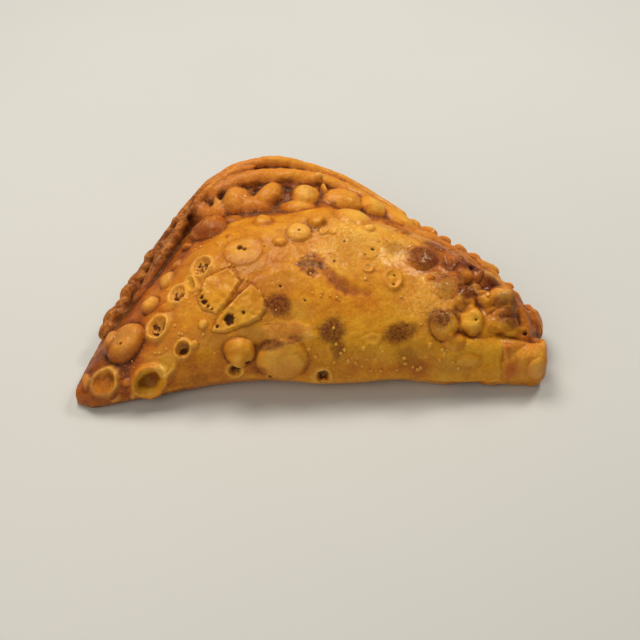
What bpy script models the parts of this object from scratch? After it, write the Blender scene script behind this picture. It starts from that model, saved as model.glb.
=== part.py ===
"""A large fried empanada: a half-moon of dough, folded along its straight front edge and
closed by a crimped rim that stands up behind. It is one solid, flat where it rests.

+X runs along the fold, +Y from the fold to the rim, +Z up. The origin is on the table,
under the middle of the whole. Sizes are in millimetres until a mesh is made.
"""

import math

import bmesh
import bpy
import numpy as np
from mathutils import Matrix, Vector, noise

MM = 0.001
MIDDLE = Vector((-1.0, -0.7, 0))  # the sections' own middle, which becomes the origin

# Cross-sections of the filled body, from the thin left tip to the blunt right end.
# fold: furthest front point. crest: top of the dome. seam: valley where the rim starts.
# rim: the rim's outer edge. heel: where the underside lifts off the table at the back.
SECTIONS = {
    # x:   (fold_y, crest_y, crest_z, seam_y, seam_z, rim_y, rim_z, heel_y)
    -82.5: (-45.5, -43.5, 5.0, -42.0, 4.5, -40.0, 4.0, -41.0),
    -76.0: (-49.0, -37.0, 10.0, -23.0, 8.5, -18.5, 8.0, -21.0),
    -67.0: (-47.5, -27.0, 15.5, -8.0, 12.5, 0.0, 13.5, -7.0),
    -57.0: (-45.4, -17.0, 22.0, 7.5, 17.5, 18.0, 19.0, 4.0),
    -44.0: (-42.8, -7.0, 29.5, 21.5, 25.5, 33.5, 29.5, 14.0),
    -30.0: (-41.4, 0.0, 35.5, 21.0, 30.5, 43.0, 35.5, 21.0),
    -15.0: (-41.3, 3.0, 37.5, 20.5, 32.5, 45.5, 37.5, 24.0),
    1.0: (-41.5, 5.0, 38.0, 23.5, 33.0, 43.0, 35.0, 25.0),
    17.0: (-41.4, 4.0, 37.0, 21.5, 30.0, 38.0, 29.0, 23.0),
    32.0: (-40.5, 1.0, 34.0, 16.5, 26.5, 29.5, 24.0, 19.0),
    46.0: (-40.0, -4.0, 30.5, 10.0, 24.0, 21.0, 20.5, 11.0),
    61.0: (-39.5, -11.0, 25.0, 1.0, 20.0, 11.5, 16.0, 2.0),
    71.0: (-38.5, -18.0, 19.5, -8.0, 15.5, 0.5, 13.2, -8.0),
    77.0: (-36.5, -24.0, 13.0, -17.0, 10.5, -13.0, 8.5, -18.0),
    79.0: (-33.0, -28.0, 8.0, -25.0, 7.0, -23.0, 6.0, -26.0),
}
NOSE_SHARE = 0.2  # height of the fold's foremost line, as a share of the crest's
DOME_TURNS = (0, 25, 50, 70, 90)
SHOULDER = (0.55, 0.35)  # shares of the way from crest to seam, across and down
RIM_THICKNESS = 3
RIM_LEAN = 1.5
BACK_BULGE = 1
HEM_CURL = 0.3
FOOT_SHARE = 0.28  # where the fold meets the table, as a share of the dome's front half
TUCK = (0.1, 0.25)
BASE_SINK = 1.5
STATIONS = 90
RING_POINTS = 64
LUMP_SIZE = 24
LUMP_HEIGHT = 0.8

# The outer edge of the rim, from the left tip over the top and down the right flank.
OUTER_EDGE = [
    (-75.0, -17.5, 7.0), (-70.5, -6.0, 11.0), (-64.5, 6.0, 15.0), (-57.5, 18.5, 19.5),
    (-48.5, 30.0, 26.5), (-39.0, 38.5, 33.0), (-28.5, 43.3, 36.3), (-16.0, 44.8, 37.6),
    (-3.0, 43.0, 35.4), (9.0, 40.6, 32.3), (20.0, 35.8, 28.4), (34.0, 28.5, 23.8),
]
OUTER_EDGE_RADIUS = (1.2, 1.6, 1.9, 2.1, 2.1, 2.0, 2.1, 2.4, 2.4, 2.2, 1.9, 1.0)

# The smooth lip of dough folded over the crimps, along their inner side.
LIP = [
    (-66.0, -8.5, 13.5), (-61.7, -2.3, 15.8), (-58.0, 6.5, 19.0), (-54.0, 14.6, 22.0),
    (-50.5, 20.3, 25.3), (-46.5, 26.0, 29.0), (-41.5, 32.0, 32.5), (-36.0, 36.5, 34.8),
    (-29.0, 40.0, 36.3), (-18.0, 41.8, 37.0),
]
LIP_RADIUS = (0.9, 1.4, 1.6, 1.7, 1.7, 1.7, 1.7, 1.6, 1.4, 0.8)

# The rolled-in fold of dough just inside that edge.
INNER_ROLL = [
    (-50.5, 18.0, 21.5), (-45.5, 27.0, 26.0), (-38.5, 32.5, 30.8), (-29.5, 36.0, 33.5),
    (-20.0, 37.8, 34.5), (-10.5, 38.3, 34.3), (1.0, 37.5, 32.8), (12.4, 34.5, 29.8),
    (23.8, 30.0, 26.0), (35.2, 24.5, 22.8),
]
INNER_ROLL_RADIUS = (1.5, 2.6, 3.4, 3.8, 3.9, 3.9, 3.8, 3.5, 3.0, 1.8)

# Crimps pinched into the outer edge down the left flank, as plump little lobes.
CRIMPED_POINTS = 6
CRIMP_START = 2
CRIMP_PITCH = 4.4
CRIMP_SIZE = (2.2, 3.2, 2.7)
CRIMP_SLANT = 35

# Dough pressed up in knuckles at the foot of the inner roll: middle, radii, turn about Z.
KNUCKLES = [
    ((-43.0, 28.0, 24.5), (5.0, 4.5, 4.0), 30),
    ((-38.5, 30.0, 28.0), (1.6, 3.6, 2.4), 20),
    ((-30.0, 29.5, 29.0), (6.2, 5.5, 5.0), 15),
    ((-18.5, 29.0, 31.0), (4.6, 7.0, 5.0), -35),
    ((-5.0, 29.5, 31.5), (6.0, 6.2, 5.2), 0),
    ((0.5, 36.5, 36.0), (1.8, 1.8, 1.8), 0),
    ((8.5, 30.0, 29.5), (7.5, 5.0, 4.6), -20),
    ((18.0, 29.5, 26.5), (6.0, 4.5, 4.0), -30),
    ((28.0, 26.0, 23.5), (6.5, 3.6, 3.6), -30),
]

# The blunt right end: the roll along the fold, the tucked corner and the lumps behind.
END_ROLL = [(36.0, -31.5, 6.5), (50.0, -32.6, 7.4), (64.0, -32.4, 7.8), (77.4, -31.8, 7.3)]
END_ROLL_RADIUS = (5.0, 7.2, 7.6, 7.2)
END_LUMPS = [
    ((75.0, -15.5, 7.5), (4.4, 10.5, 6.0), -14),
    ((66.5, -21.0, 13.0), (7.0, 5.0, 4.6), 0),
    ((68.0, -7.0, 13.0), (5.0, 6.0, 4.5), 25),
]

# Small pinches along the right flank, where the rim is pressed down.
FLANK_SPAN = (36, 72)
FLANK_PITCH = 5.6
FLANK_SIZE = (3.2, 2.0, 2.0)
FLANK_TURN = -35
FLANK_INSET = Vector((0, -1.2, -0.6))
UNEVEN_CRIMPS = 0.12
UNEVEN_PINCHES = 0.15

# Large oil blisters: x, distance up the skin from the fold, two radii, turn, rise.
BLISTERS = [
    (-73.5, 8.0, 5.0, 4.6, 0, 1.8),
    (-66.0, 20.0, 7.8, 6.0, 80, 2.8),
    (-57.5, 6.5, 5.6, 5.0, 0, 2.0),
    (-54.5, 22.5, 6.0, 4.2, 80, 1.8),
    (-43.0, 67.0, 5.5, 5.0, 20, 3.0),
    (-26.0, 11.5, 5.2, 4.8, -20, 2.4),
    (-23.5, 25.0, 8.5, 6.0, 25, 1.4),
    (-12.5, 9.5, 9.2, 9.0, 90, 2.8),
    (-6.5, 57.5, 4.2, 4.0, 0, 1.6),
    (13.5, 71.0, 6.0, 4.6, -15, 1.8),
    (37.5, 47.5, 6.0, 5.0, 80, 1.6),
    (42.5, 19.5, 5.2, 4.6, 80, 2.8),
    (48.5, 29.0, 5.4, 4.6, 0, 2.4),
    (50.0, 7.0, 6.0, 3.6, 5, 1.6),
    (53.0, 20.5, 4.6, 3.8, 80, 2.2),
    (53.0, 42.0, 5.0, 4.8, 0, 2.6),
    (58.5, 30.0, 4.0, 3.8, 0, 2.2),
    (65.0, 31.0, 5.4, 4.6, 90, 2.6),
]

ROLL_STEPS = 6
END_CAP = 0.45
TABLE = (300, 200, 20)
REMESH_VOXEL = 0.0012
KEPT_FACES = 0.18


def eased(where, knots, values):
    """Smooth curve through values at knots that doesn't overshoot them."""
    knots = np.asarray(knots, float)
    values = np.asarray(values, float)
    gap = np.diff(knots)
    rise = np.diff(values) / gap
    slope = np.concatenate([rise[:1], np.zeros(len(rise) - 1), rise[-1:]])
    for i in range(1, len(rise)):
        if rise[i - 1] * rise[i] > 0:
            slope[i] = 2 * rise[i - 1] * rise[i] / (rise[i - 1] + rise[i])
    i = np.clip(np.searchsorted(knots, where) - 1, 0, len(gap) - 1)
    t = (where - knots[i]) / gap[i]
    step = t * t * (3 - 2 * t)
    lean = gap[i] * (t * (1 - t) ** 2 * slope[i] - t * t * (1 - t) * slope[i + 1])
    return values[i] * (1 - step) + values[i + 1] * step + lean


def reach_along(points):
    """Distance from the first point to each point, straight from one to the next."""
    steps = np.linalg.norm(np.diff(points, axis=0), axis=1)
    return np.concatenate([[0], np.cumsum(steps)])


def through(points, where):
    """Points on a smooth curve through the given ones, at distances where along it."""
    points = np.asarray(points, float)
    reach = reach_along(points)
    return np.stack([eased(where, reach, axis) for axis in points.T], axis=-1)


def section_at(x):
    """The eight measures of the cross-section at x, smooth from one section to the next."""
    knots = sorted(SECTIONS)
    columns = np.array([SECTIONS[k] for k in knots]).T
    return [float(eased(x, knots, column)) for column in columns]


def outline(x):
    """The body's cross-section at x as (y, z) points: up the fold, over the dome and the
    rim, down the back and along the base to the fold again."""
    fold, crest_y, crest_z, seam_y, seam_z, rim_y, rim_z, heel = section_at(x)
    nose_z = NOSE_SHARE * crest_z
    run, lift = crest_y - fold, crest_z - nose_z
    fall_y, fall_z = SHOULDER
    tuck_y, tuck_z = TUCK
    dome = [math.radians(turn) for turn in DOME_TURNS]
    points = [(crest_y - run * math.cos(a), nose_z + lift * math.sin(a)) for a in dome]
    points += [
        (crest_y + fall_y * (seam_y - crest_y), crest_z + fall_z * (seam_z - crest_z)),
        (seam_y, seam_z),
        ((seam_y + rim_y) / 2, (seam_z + rim_z) / 2 + HEM_CURL),
        (rim_y - BACK_BULGE, rim_z),
        (rim_y - RIM_LEAN, rim_z - RIM_THICKNESS),
        ((rim_y + heel) / 2 + BACK_BULGE, rim_z / 2 - BACK_BULGE),
        (heel, -BASE_SINK),
        (fold + FOOT_SHARE * run, -BASE_SINK),
        (fold + tuck_y * run, tuck_z * nose_z),
    ]
    return points + points[:1]


def lumped(point):
    """The point pushed gently in or out, so that no stretch of dough is quite even."""
    x, y, z = point
    push = LUMP_HEIGHT * noise.noise(Vector((x, y, 2 * z)) / LUMP_SIZE)
    return Vector((x, y + push, z + push))


def skin(x, across):
    """The point at x that is this far up the skin from the foremost line of the fold."""
    y, z = through(outline(x), across)
    return lumped((x, y, z))


def skin_frame(x, across, turn=0):
    """Where a blister sits: its matrix, with local Z out of the skin."""
    here = skin(x, across)
    along = skin(x + 1, across) - skin(x - 1, across)
    up = skin(x, across + 1) - skin(x, across - 1)
    out = along.cross(up).normalized()
    side = along.normalized()
    basis = Matrix((side, out.cross(side), out)).transposed().to_4x4()
    return Matrix.Translation(here) @ basis @ Matrix.Rotation(math.radians(turn), 4, "Z")


def add_body(bm):
    """The filled body, lofted through its sections."""
    knots = sorted(SECTIONS)
    rings = []
    for x in np.linspace(knots[0], knots[-1], STATIONS):
        points = outline(x)
        where = np.linspace(0, reach_along(points)[-1], RING_POINTS + 1)[:-1]
        ring = [lumped((x, y, z)) for y, z in through(points, where)]
        rings.append([bm.verts.new(point) for point in ring])
    for a, b in zip(rings, rings[1:]):
        for i in range(RING_POINTS):
            j = (i + 1) % RING_POINTS
            bm.faces.new((a[i], a[j], b[j], b[i]))
    bm.faces.new(rings[0])
    bm.faces.new(rings[-1])


def add_ball(bm, place, radii):
    """An ellipsoid of dough of these radii, set by the matrix place."""
    size = Matrix.Diagonal((*radii, 1))
    bmesh.ops.create_uvsphere(
        bm, u_segments=20, v_segments=12, radius=1, matrix=place @ size
    )


def turned(middle, turn):
    return Matrix.Translation(middle) @ Matrix.Rotation(math.radians(turn), 4, "Z")


def add_roll(bm, points, radii):
    """A roll of dough along points, made as a bevelled curve and added to the mesh."""
    count = ROLL_STEPS * len(points)
    reach = reach_along(np.array(points))
    where = np.linspace(0, reach[-1], count)
    width = eased(where, reach, radii)
    curve = bpy.data.curves.new("roll", "CURVE")
    curve.dimensions = "3D"
    curve.bevel_depth = 1
    curve.bevel_resolution = 3
    curve.use_fill_caps = True
    line = curve.splines.new("POLY")
    line.points.add(count - 1)
    for knot, spot, radius in zip(line.points, through(points, where), width):
        knot.co = (*spot, 1)
        knot.radius = radius
    route = bpy.data.objects.new("roll", curve)
    bpy.context.scene.collection.objects.link(route)
    seen = route.evaluated_get(bpy.context.evaluated_depsgraph_get())
    mesh = bpy.data.meshes.new_from_object(seen)
    bm.from_mesh(mesh)
    bpy.data.meshes.remove(mesh)
    bpy.data.objects.remove(route)
    for end, radius in ((0, radii[0]), (-1, radii[-1])):
        add_ball(bm, Matrix.Translation(points[end]), (END_CAP * radius, radius, radius))


def add_crimps(bm):
    """Plump lobes pinched along the left flank's edge, each slanted across it."""
    flank = np.array(OUTER_EDGE[:CRIMPED_POINTS])
    reach = reach_along(flank)[-1]
    for i, at in enumerate(np.arange(CRIMP_START, reach, CRIMP_PITCH)):
        here, ahead = through(flank, np.array([at, at + 1]))
        heading = math.degrees(math.atan2(*(ahead - here)[[1, 0]]))
        swell = 1 + UNEVEN_CRIMPS * math.sin(2.3 * i)
        radii = [swell * r for r in CRIMP_SIZE]
        add_ball(bm, turned(Vector(here), heading + CRIMP_SLANT), radii)


def add_pinches(bm):
    """Small pinches along the right flank's edge."""
    for i, x in enumerate(np.arange(*FLANK_SPAN, FLANK_PITCH)):
        rim_y, rim_z = section_at(x)[5:7]
        swell = 1 + UNEVEN_PINCHES * math.sin(1.9 * i)
        middle = Vector((x, rim_y, rim_z)) + FLANK_INSET
        add_ball(bm, turned(middle, FLANK_TURN), [swell * r for r in FLANK_SIZE])


def add_blisters(bm):
    for x, across, long, wide, turn, rise in BLISTERS:
        add_ball(bm, skin_frame(x, across, turn), (long, wide, rise))


def dough_material():
    material = bpy.data.materials.new("fried_dough")
    material.use_nodes = True
    shader = material.node_tree.nodes["Principled BSDF"]
    shader.inputs["Base Color"].default_value = (0.55, 0.27, 0.07, 1)
    shader.inputs["Roughness"].default_value = 0.45
    shader.inputs["Metallic"].default_value = 0
    return material


def new_collection(name):
    made = bpy.data.collections.new(name)
    bpy.context.scene.collection.children.link(made)
    return made


def add_object(name, bm, collection):
    """Turns a bmesh drawn in millimetres into an object in metres."""
    bmesh.ops.scale(bm, vec=(MM, MM, MM), verts=bm.verts)
    bmesh.ops.remove_doubles(bm, verts=bm.verts, dist=0.00001)
    bmesh.ops.recalc_face_normals(bm, faces=bm.faces)
    mesh = bpy.data.meshes.new(name)
    bm.to_mesh(mesh)
    bm.free()
    made = bpy.data.objects.new(name, mesh)
    collection.objects.link(made)
    return made


def table_cutter(collection):
    """Everything below the table, which leaves the base flat."""
    bm = bmesh.new()
    bmesh.ops.create_cube(bm, size=1, matrix=Matrix.Diagonal((*TABLE, 1)))
    bmesh.ops.translate(bm, vec=(0, 0, -TABLE[2] / 2), verts=bm.verts)
    cutter = add_object("table_cutter", bm, collection)
    cutter.hide_render = True
    cutter.display_type = "WIRE"
    return cutter


def main():
    for old in list(bpy.data.objects):
        bpy.data.objects.remove(old)
    food = new_collection("empanada")
    cutters = new_collection("cutters")

    bm = bmesh.new()
    add_body(bm)
    add_roll(bm, OUTER_EDGE, OUTER_EDGE_RADIUS)
    add_roll(bm, LIP, LIP_RADIUS)
    add_roll(bm, INNER_ROLL, INNER_ROLL_RADIUS)
    add_roll(bm, END_ROLL, END_ROLL_RADIUS)
    add_crimps(bm)
    add_pinches(bm)
    for middle, radii, turn in KNUCKLES + END_LUMPS:
        add_ball(bm, turned(Vector(middle), turn), radii)
    add_blisters(bm)
    bmesh.ops.translate(bm, vec=-MIDDLE, verts=bm.verts)
    crust = add_object("crust", bm, food)
    crust.data.materials.append(dough_material())

    remesh = crust.modifiers.new("one_skin", "REMESH")
    remesh.mode = "VOXEL"
    remesh.voxel_size = REMESH_VOXEL
    soften = crust.modifiers.new("soften", "SMOOTH")
    soften.factor = 0.5
    soften.iterations = 1
    fewer = crust.modifiers.new("fewer_faces", "DECIMATE")
    fewer.ratio = KEPT_FACES
    flat = crust.modifiers.new("flat_base", "BOOLEAN")
    flat.operation = "DIFFERENCE"
    flat.object = table_cutter(cutters)


main()
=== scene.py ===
"""The looks of a large fried empanada: one fine crust, crimped, blistered and browned, with
tiny blisters scattered over it, on a pale floor under soft light.

+X runs along the fold, +Y from the fold to the crimped rim, +Z up. Shapes are drawn in
millimetres in the same coordinates as the CAD sections, then placed on the CAD box.
"""

import math
import random

import bmesh
import bpy
import numpy as np
from mathutils import Matrix, Vector, noise


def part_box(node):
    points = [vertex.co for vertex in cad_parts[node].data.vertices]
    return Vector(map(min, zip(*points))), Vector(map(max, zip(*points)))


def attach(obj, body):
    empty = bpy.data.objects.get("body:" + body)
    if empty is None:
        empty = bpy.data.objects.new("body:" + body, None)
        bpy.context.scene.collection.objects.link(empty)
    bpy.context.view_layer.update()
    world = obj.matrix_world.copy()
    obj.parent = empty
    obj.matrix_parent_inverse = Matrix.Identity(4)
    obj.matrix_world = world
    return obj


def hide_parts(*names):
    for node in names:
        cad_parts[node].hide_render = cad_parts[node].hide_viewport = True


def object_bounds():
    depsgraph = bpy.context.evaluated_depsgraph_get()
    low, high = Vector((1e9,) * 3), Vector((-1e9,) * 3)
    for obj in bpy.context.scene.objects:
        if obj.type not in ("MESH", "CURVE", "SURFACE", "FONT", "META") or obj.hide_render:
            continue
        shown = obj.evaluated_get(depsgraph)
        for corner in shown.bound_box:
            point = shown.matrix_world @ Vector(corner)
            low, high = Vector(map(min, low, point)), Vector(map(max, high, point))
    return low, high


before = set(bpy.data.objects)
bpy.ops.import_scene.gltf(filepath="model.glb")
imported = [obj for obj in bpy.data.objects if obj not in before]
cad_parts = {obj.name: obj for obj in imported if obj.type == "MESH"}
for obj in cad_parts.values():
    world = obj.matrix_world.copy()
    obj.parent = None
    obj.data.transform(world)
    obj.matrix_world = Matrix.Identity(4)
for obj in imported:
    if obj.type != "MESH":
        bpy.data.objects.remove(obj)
CAD_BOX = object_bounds()

MM = 0.001
MIDDLE = np.array([-1.0, -0.7])  # the sections' own middle, which stands on the CAD box's

# ---------------------------------------------------------------- the crust's named sizes

# Cross-sections of the filled body, from the thin left tip to the blunt right end.
# fold: furthest front point. crest: top of the dome. seam: valley where the rim starts.
# rim: the rim's outer edge. heel: where the underside lifts off the table at the back.
SECTIONS = {
    # x:   (fold_y, crest_y, crest_z, seam_y, seam_z, rim_y, rim_z, heel_y)
    -82.5: (-45.5, -43.5, 5, -42, 4.5, -40, 4, -41),
    -76: (-49, -37, 10, -23, 8.5, -18.5, 8, -21),
    -67: (-47.5, -27, 15.5, -8, 12.5, 0, 13.5, -7),
    -57: (-45.4, -17, 22, 7.5, 17.5, 18, 19, 4),
    -44: (-42.8, -7, 29.5, 21.5, 25.5, 33.5, 29.5, 14),
    -30: (-41.4, 0, 35.5, 21, 30.5, 43, 35.5, 21),
    -15: (-41.3, 3, 37.5, 20.5, 32.5, 45.5, 37.5, 24),
    1: (-41.5, 5, 38, 23.5, 33, 43, 35, 25),
    17: (-41.4, 4, 37, 21.5, 30, 38, 29, 23),
    32: (-40.5, 1, 34, 16.5, 26.5, 29.5, 24, 19),
    46: (-40, -4, 30.5, 10, 24, 21, 20.5, 11),
    61: (-39.5, -11, 25, 1, 20, 11.5, 16, 2),
    71: (-38.5, -18, 19.5, -8, 15.5, 0.5, 13.2, -8),
    77: (-36.5, -24, 13, -17, 10.5, -13, 8.5, -18),
    79: (-33, -28, 8, -25, 7, -23, 6, -26),
}
NOSE_SHARE = 0.2  # height of the fold's foremost line, as a share of the crest's
DOME_TURNS = (0, 25, 50, 70, 90)
SHOULDER = (0.55, 0.35)  # shares of the way from crest to seam, across and down
RIM_THICKNESS = 3
RIM_LEAN = 1.5
BACK_BULGE = 1
HEM_CURL = 0.3
FOOT_SHARE = 0.28  # where the fold meets the table, as a share of the dome's front half
TUCK = (0.1, 0.25)
BASE_SINK = 1.5
LUMP_SIZE = 24
LUMP_HEIGHT = 0.8
STATION_STEP = 0.5
RING_POINTS = 280

# The outer edge of the rim, from the left tip over the top and down the right flank.
OUTER_EDGE = [
    (-75, -17.5, 7), (-70.5, -6, 11), (-64.5, 6, 15), (-57.5, 18.5, 19.5),
    (-48.5, 30, 26.5), (-39, 38.5, 33), (-28.5, 43.3, 36.3), (-16, 44.8, 37.6),
    (-3, 43, 35.4), (9, 40.6, 32.3), (20, 35.8, 28.4), (34, 28.5, 23.8),
]
OUTER_EDGE_RADIUS = (1.2, 1.6, 1.9, 2.1, 2.1, 2.0, 2.1, 2.4, 2.4, 2.2, 1.9, 1.0)

# The smooth lip of dough folded over the crimps.
LIP = [
    (-66, -8.5, 13.5), (-61.7, -2.3, 15.8), (-58, 6.5, 19), (-54, 14.6, 22),
    (-50.5, 20.3, 25.3), (-46.5, 26, 29), (-41.5, 32, 32.5), (-36, 36.5, 35),
    (-30.5, 39.9, 36.8), (-23, 41.6, 37.6),
]
LIP_RADIUS = (1.4, 2.2, 2.5, 2.4, 2.0, 1.8, 1.7, 1.6, 1.3, 0.6)

# The rolled-in fold of dough just inside that edge.
INNER_ROLL = [
    (-50.5, 18, 21.5), (-45.5, 27, 26), (-38.5, 32.5, 30.8), (-29.5, 36, 33.5),
    (-20, 37.8, 34.5), (-10.5, 38.3, 34.3), (1, 37.5, 32.8), (12.4, 34.5, 29.8),
    (23.8, 30, 26), (35.2, 24.5, 22.8),
]
INNER_ROLL_RADIUS = (1.5, 2.6, 3.4, 3.8, 3.9, 3.9, 3.8, 3.5, 3.0, 1.8)

# The blunt right end: the roll along the fold, whose tip is a squarer cap.
END_ROLL = [(36, -31.5, 6.5), (50, -32.4, 7.2), (64, -31.8, 7.4), (75.6, -30.8, 7)]
END_ROLL_RADIUS = (5.0, 7.0, 7.2, 6.4)

# Lobes twisted into the outer edge down the left flank, like the strands of a rope.
ROPE_POINTS = 5
ROPE_PITCH = 5.6
ROPE_LOBE = (5.2, 3.0, 3.7)
ROPE_SLANT = -26
ROPE_INSET = np.array([0.9, -0.8, 0.7])

# Dough pressed up in knuckles at the foot of the inner roll: middle, radii, turn about Z.
KNUCKLES = [
    ((-43, 27, 26.4), (4.6, 6.8, 4.8), 32),
    ((-37.2, 28, 29.6), (1.6, 4.8, 2.9), 30),
    ((-35, 25, 27.6), (6.4, 5, 4.6), 20),
    ((-29.6, 28.2, 30.2), (6.4, 7.2, 5.8), 14),
    ((-24.4, 25.6, 29.6), (6.4, 5.6, 5), -10),
    ((-17.6, 29.2, 31.4), (5, 7.6, 5.8), -36),
    ((-20.6, 25.4, 30.2), (5.8, 5.4, 4.8), -20),
    ((-13, 24.6, 29.6), (5, 3.8, 3.2), 0),
    ((-4.6, 28.2, 31.4), (5.7, 6.4, 6), 0),
    ((-6.4, 22.4, 31.6), (7.8, 4, 3.4), -6),
    ((0.4, 36, 37.2), (1.7, 1.7, 1.7), 0),
    ((2.6, 31.5, 35), (0.9, 2.6, 1.5), 15),
    ((8.4, 28.4, 30), (8.6, 6.8, 5.2), -14),
    ((18.6, 28.6, 27.2), (7.4, 5.2, 4.6), -32),
    ((29, 25, 23.8), (7.8, 4.6, 4), -32),
]
KNUCKLE_SHELF = [(-45, 24, 22.5), (-34, 26, 25.6), (-20, 26.6, 27.2), (-4, 26.6, 27.6),
                 (12, 26, 26), (30, 22, 22)]
KNUCKLE_SHELF_RADIUS = (3.0, 4.4, 4.8, 4.8, 4.6, 2.5)
END_LUMPS = [
    ((74.3, -17.5, 8), (5.6, 10.6, 7.6), -14),
    ((63.2, -19.4, 20.6), (6.6, 6.4, 4.8), 0),
    ((64.2, -27.6, 16.6), (6.6, 4.2, 4.8), 8),
    ((68, -7, 13.4), (5, 6, 4.6), 25),
    ((59.6, 7.6, 15.4), (4.6, 5, 3.6), -30),
    ((47, -12, 26.4), (6, 6, 4), 0),
]
END_CAP = ((71.6, -31.0, 7.0), (8.2, 7.6, 7.8), 0.6)  # middle, radii, squareness

# Small pinches along the right flank, where the rim is pressed down.
PINCH_SPAN = (36, 72)
PINCH_PITCH = 5.6
PINCH_SIZE = (3.2, 2.0, 2.0)
PINCH_TURN = -35
PINCH_INSET = np.array([0, -1.2, -0.6])

# How finely the shapes are drawn before they are joined, and the crust after.
BALL_RINGS = 17
BALL_SIDES = 32
ROLL_SIDES = 28
ROLL_STEP = 0.7
ROLL_LUMPS = 3.0
CRUST_VOXEL = 0.45
SOFTENING = 5
CRUST_TRIANGLES = 197000


# ---------------------------------------------------------------- curves and the body


def eased(where, knots, values):
    """Smooth curve through values at knots that doesn't overshoot them."""
    knots = np.asarray(knots, float)
    values = np.asarray(values, float)
    gap = np.diff(knots)
    rise = np.diff(values) / gap
    slope = np.concatenate([rise[:1], np.zeros(len(rise) - 1), rise[-1:]])
    for i in range(1, len(rise)):
        if rise[i - 1] * rise[i] > 0:
            slope[i] = 2 * rise[i - 1] * rise[i] / (rise[i - 1] + rise[i])
    i = np.clip(np.searchsorted(knots, where) - 1, 0, len(gap) - 1)
    t = (where - knots[i]) / gap[i]
    step = t * t * (3 - 2 * t)
    lean = gap[i] * (t * (1 - t) ** 2 * slope[i] - t * t * (1 - t) * slope[i + 1])
    return values[i] * (1 - step) + values[i + 1] * step + lean


def reach_along(points):
    """Distance from the first point to each point, straight from one to the next."""
    steps = np.linalg.norm(np.diff(points, axis=0), axis=1)
    return np.concatenate([[0], np.cumsum(steps)])


def through(points, where):
    """Points on a smooth curve through the given ones, at distances where along it."""
    points = np.asarray(points, float)
    reach = reach_along(points)
    return np.stack([eased(where, reach, axis) for axis in points.T], axis=-1)


def section_at(x):
    """The eight measures of the cross-section at x, smooth from one section to the next."""
    knots = sorted(SECTIONS)
    columns = np.array([SECTIONS[k] for k in knots]).T
    return [float(eased(x, knots, column)) for column in columns]


def outline(x):
    """The body's cross-section at x as (y, z) points: up the fold, over the dome and the
    rim, down the back and along the base to the fold again."""
    fold, crest_y, crest_z, seam_y, seam_z, rim_y, rim_z, heel = section_at(x)
    nose_z = NOSE_SHARE * crest_z
    run, lift = crest_y - fold, crest_z - nose_z
    fall_y, fall_z = SHOULDER
    tuck_y, tuck_z = TUCK
    dome = [math.radians(turn) for turn in DOME_TURNS]
    points = [(crest_y - run * math.cos(a), nose_z + lift * math.sin(a)) for a in dome]
    points += [
        (crest_y + fall_y * (seam_y - crest_y), crest_z + fall_z * (seam_z - crest_z)),
        (seam_y, seam_z),
        ((seam_y + rim_y) / 2, (seam_z + rim_z) / 2 + HEM_CURL),
        (rim_y - BACK_BULGE, rim_z),
        (rim_y - RIM_LEAN, rim_z - RIM_THICKNESS),
        ((rim_y + heel) / 2 + BACK_BULGE, rim_z / 2 - BACK_BULGE),
        (heel, -BASE_SINK),
        (fold + FOOT_SHARE * run, -BASE_SINK),
        (fold + tuck_y * run, tuck_z * nose_z),
    ]
    return points + points[:1]


def put(name, data):
    """A new object of this mesh, light or camera, in the scene."""
    made = bpy.data.objects.new(name, data)
    bpy.context.scene.collection.objects.link(made)
    return made


def field(points, size, seed=0):
    """Smooth noise from -1 to 1 at each point, of lumps about this size. Each seed gives
    another noise, so that no two uses of it match."""
    move = Vector((17.3, 5.1, 9.7)) * seed
    return np.array([noise.noise(Vector(p) / size + move) for p in points.tolist()])


def rough(points, size, seed=0):
    """Noise with three finer layers in it."""
    return sum(field(points, size / 2**k, seed + k) / 2**k for k in range(3)) / 1.75


def lumped(points):
    """Points pushed gently in or out, so that no stretch of dough is quite even."""
    push = LUMP_HEIGHT * field(points * (1, 1, 2), LUMP_SIZE)
    return points + push[:, None] * (0, 1, 1)


def ring_at(x, count):
    """The lumped cross-section at x as count points, and how far up the skin each is."""
    points = np.array(outline(x))
    where = np.linspace(0, reach_along(points)[-1], count + 1)[:-1]
    flat = through(points, where)
    return lumped(np.column_stack([np.full(count, x), flat])), where


# ---------------------------------------------------------------- solids to be joined


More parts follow.
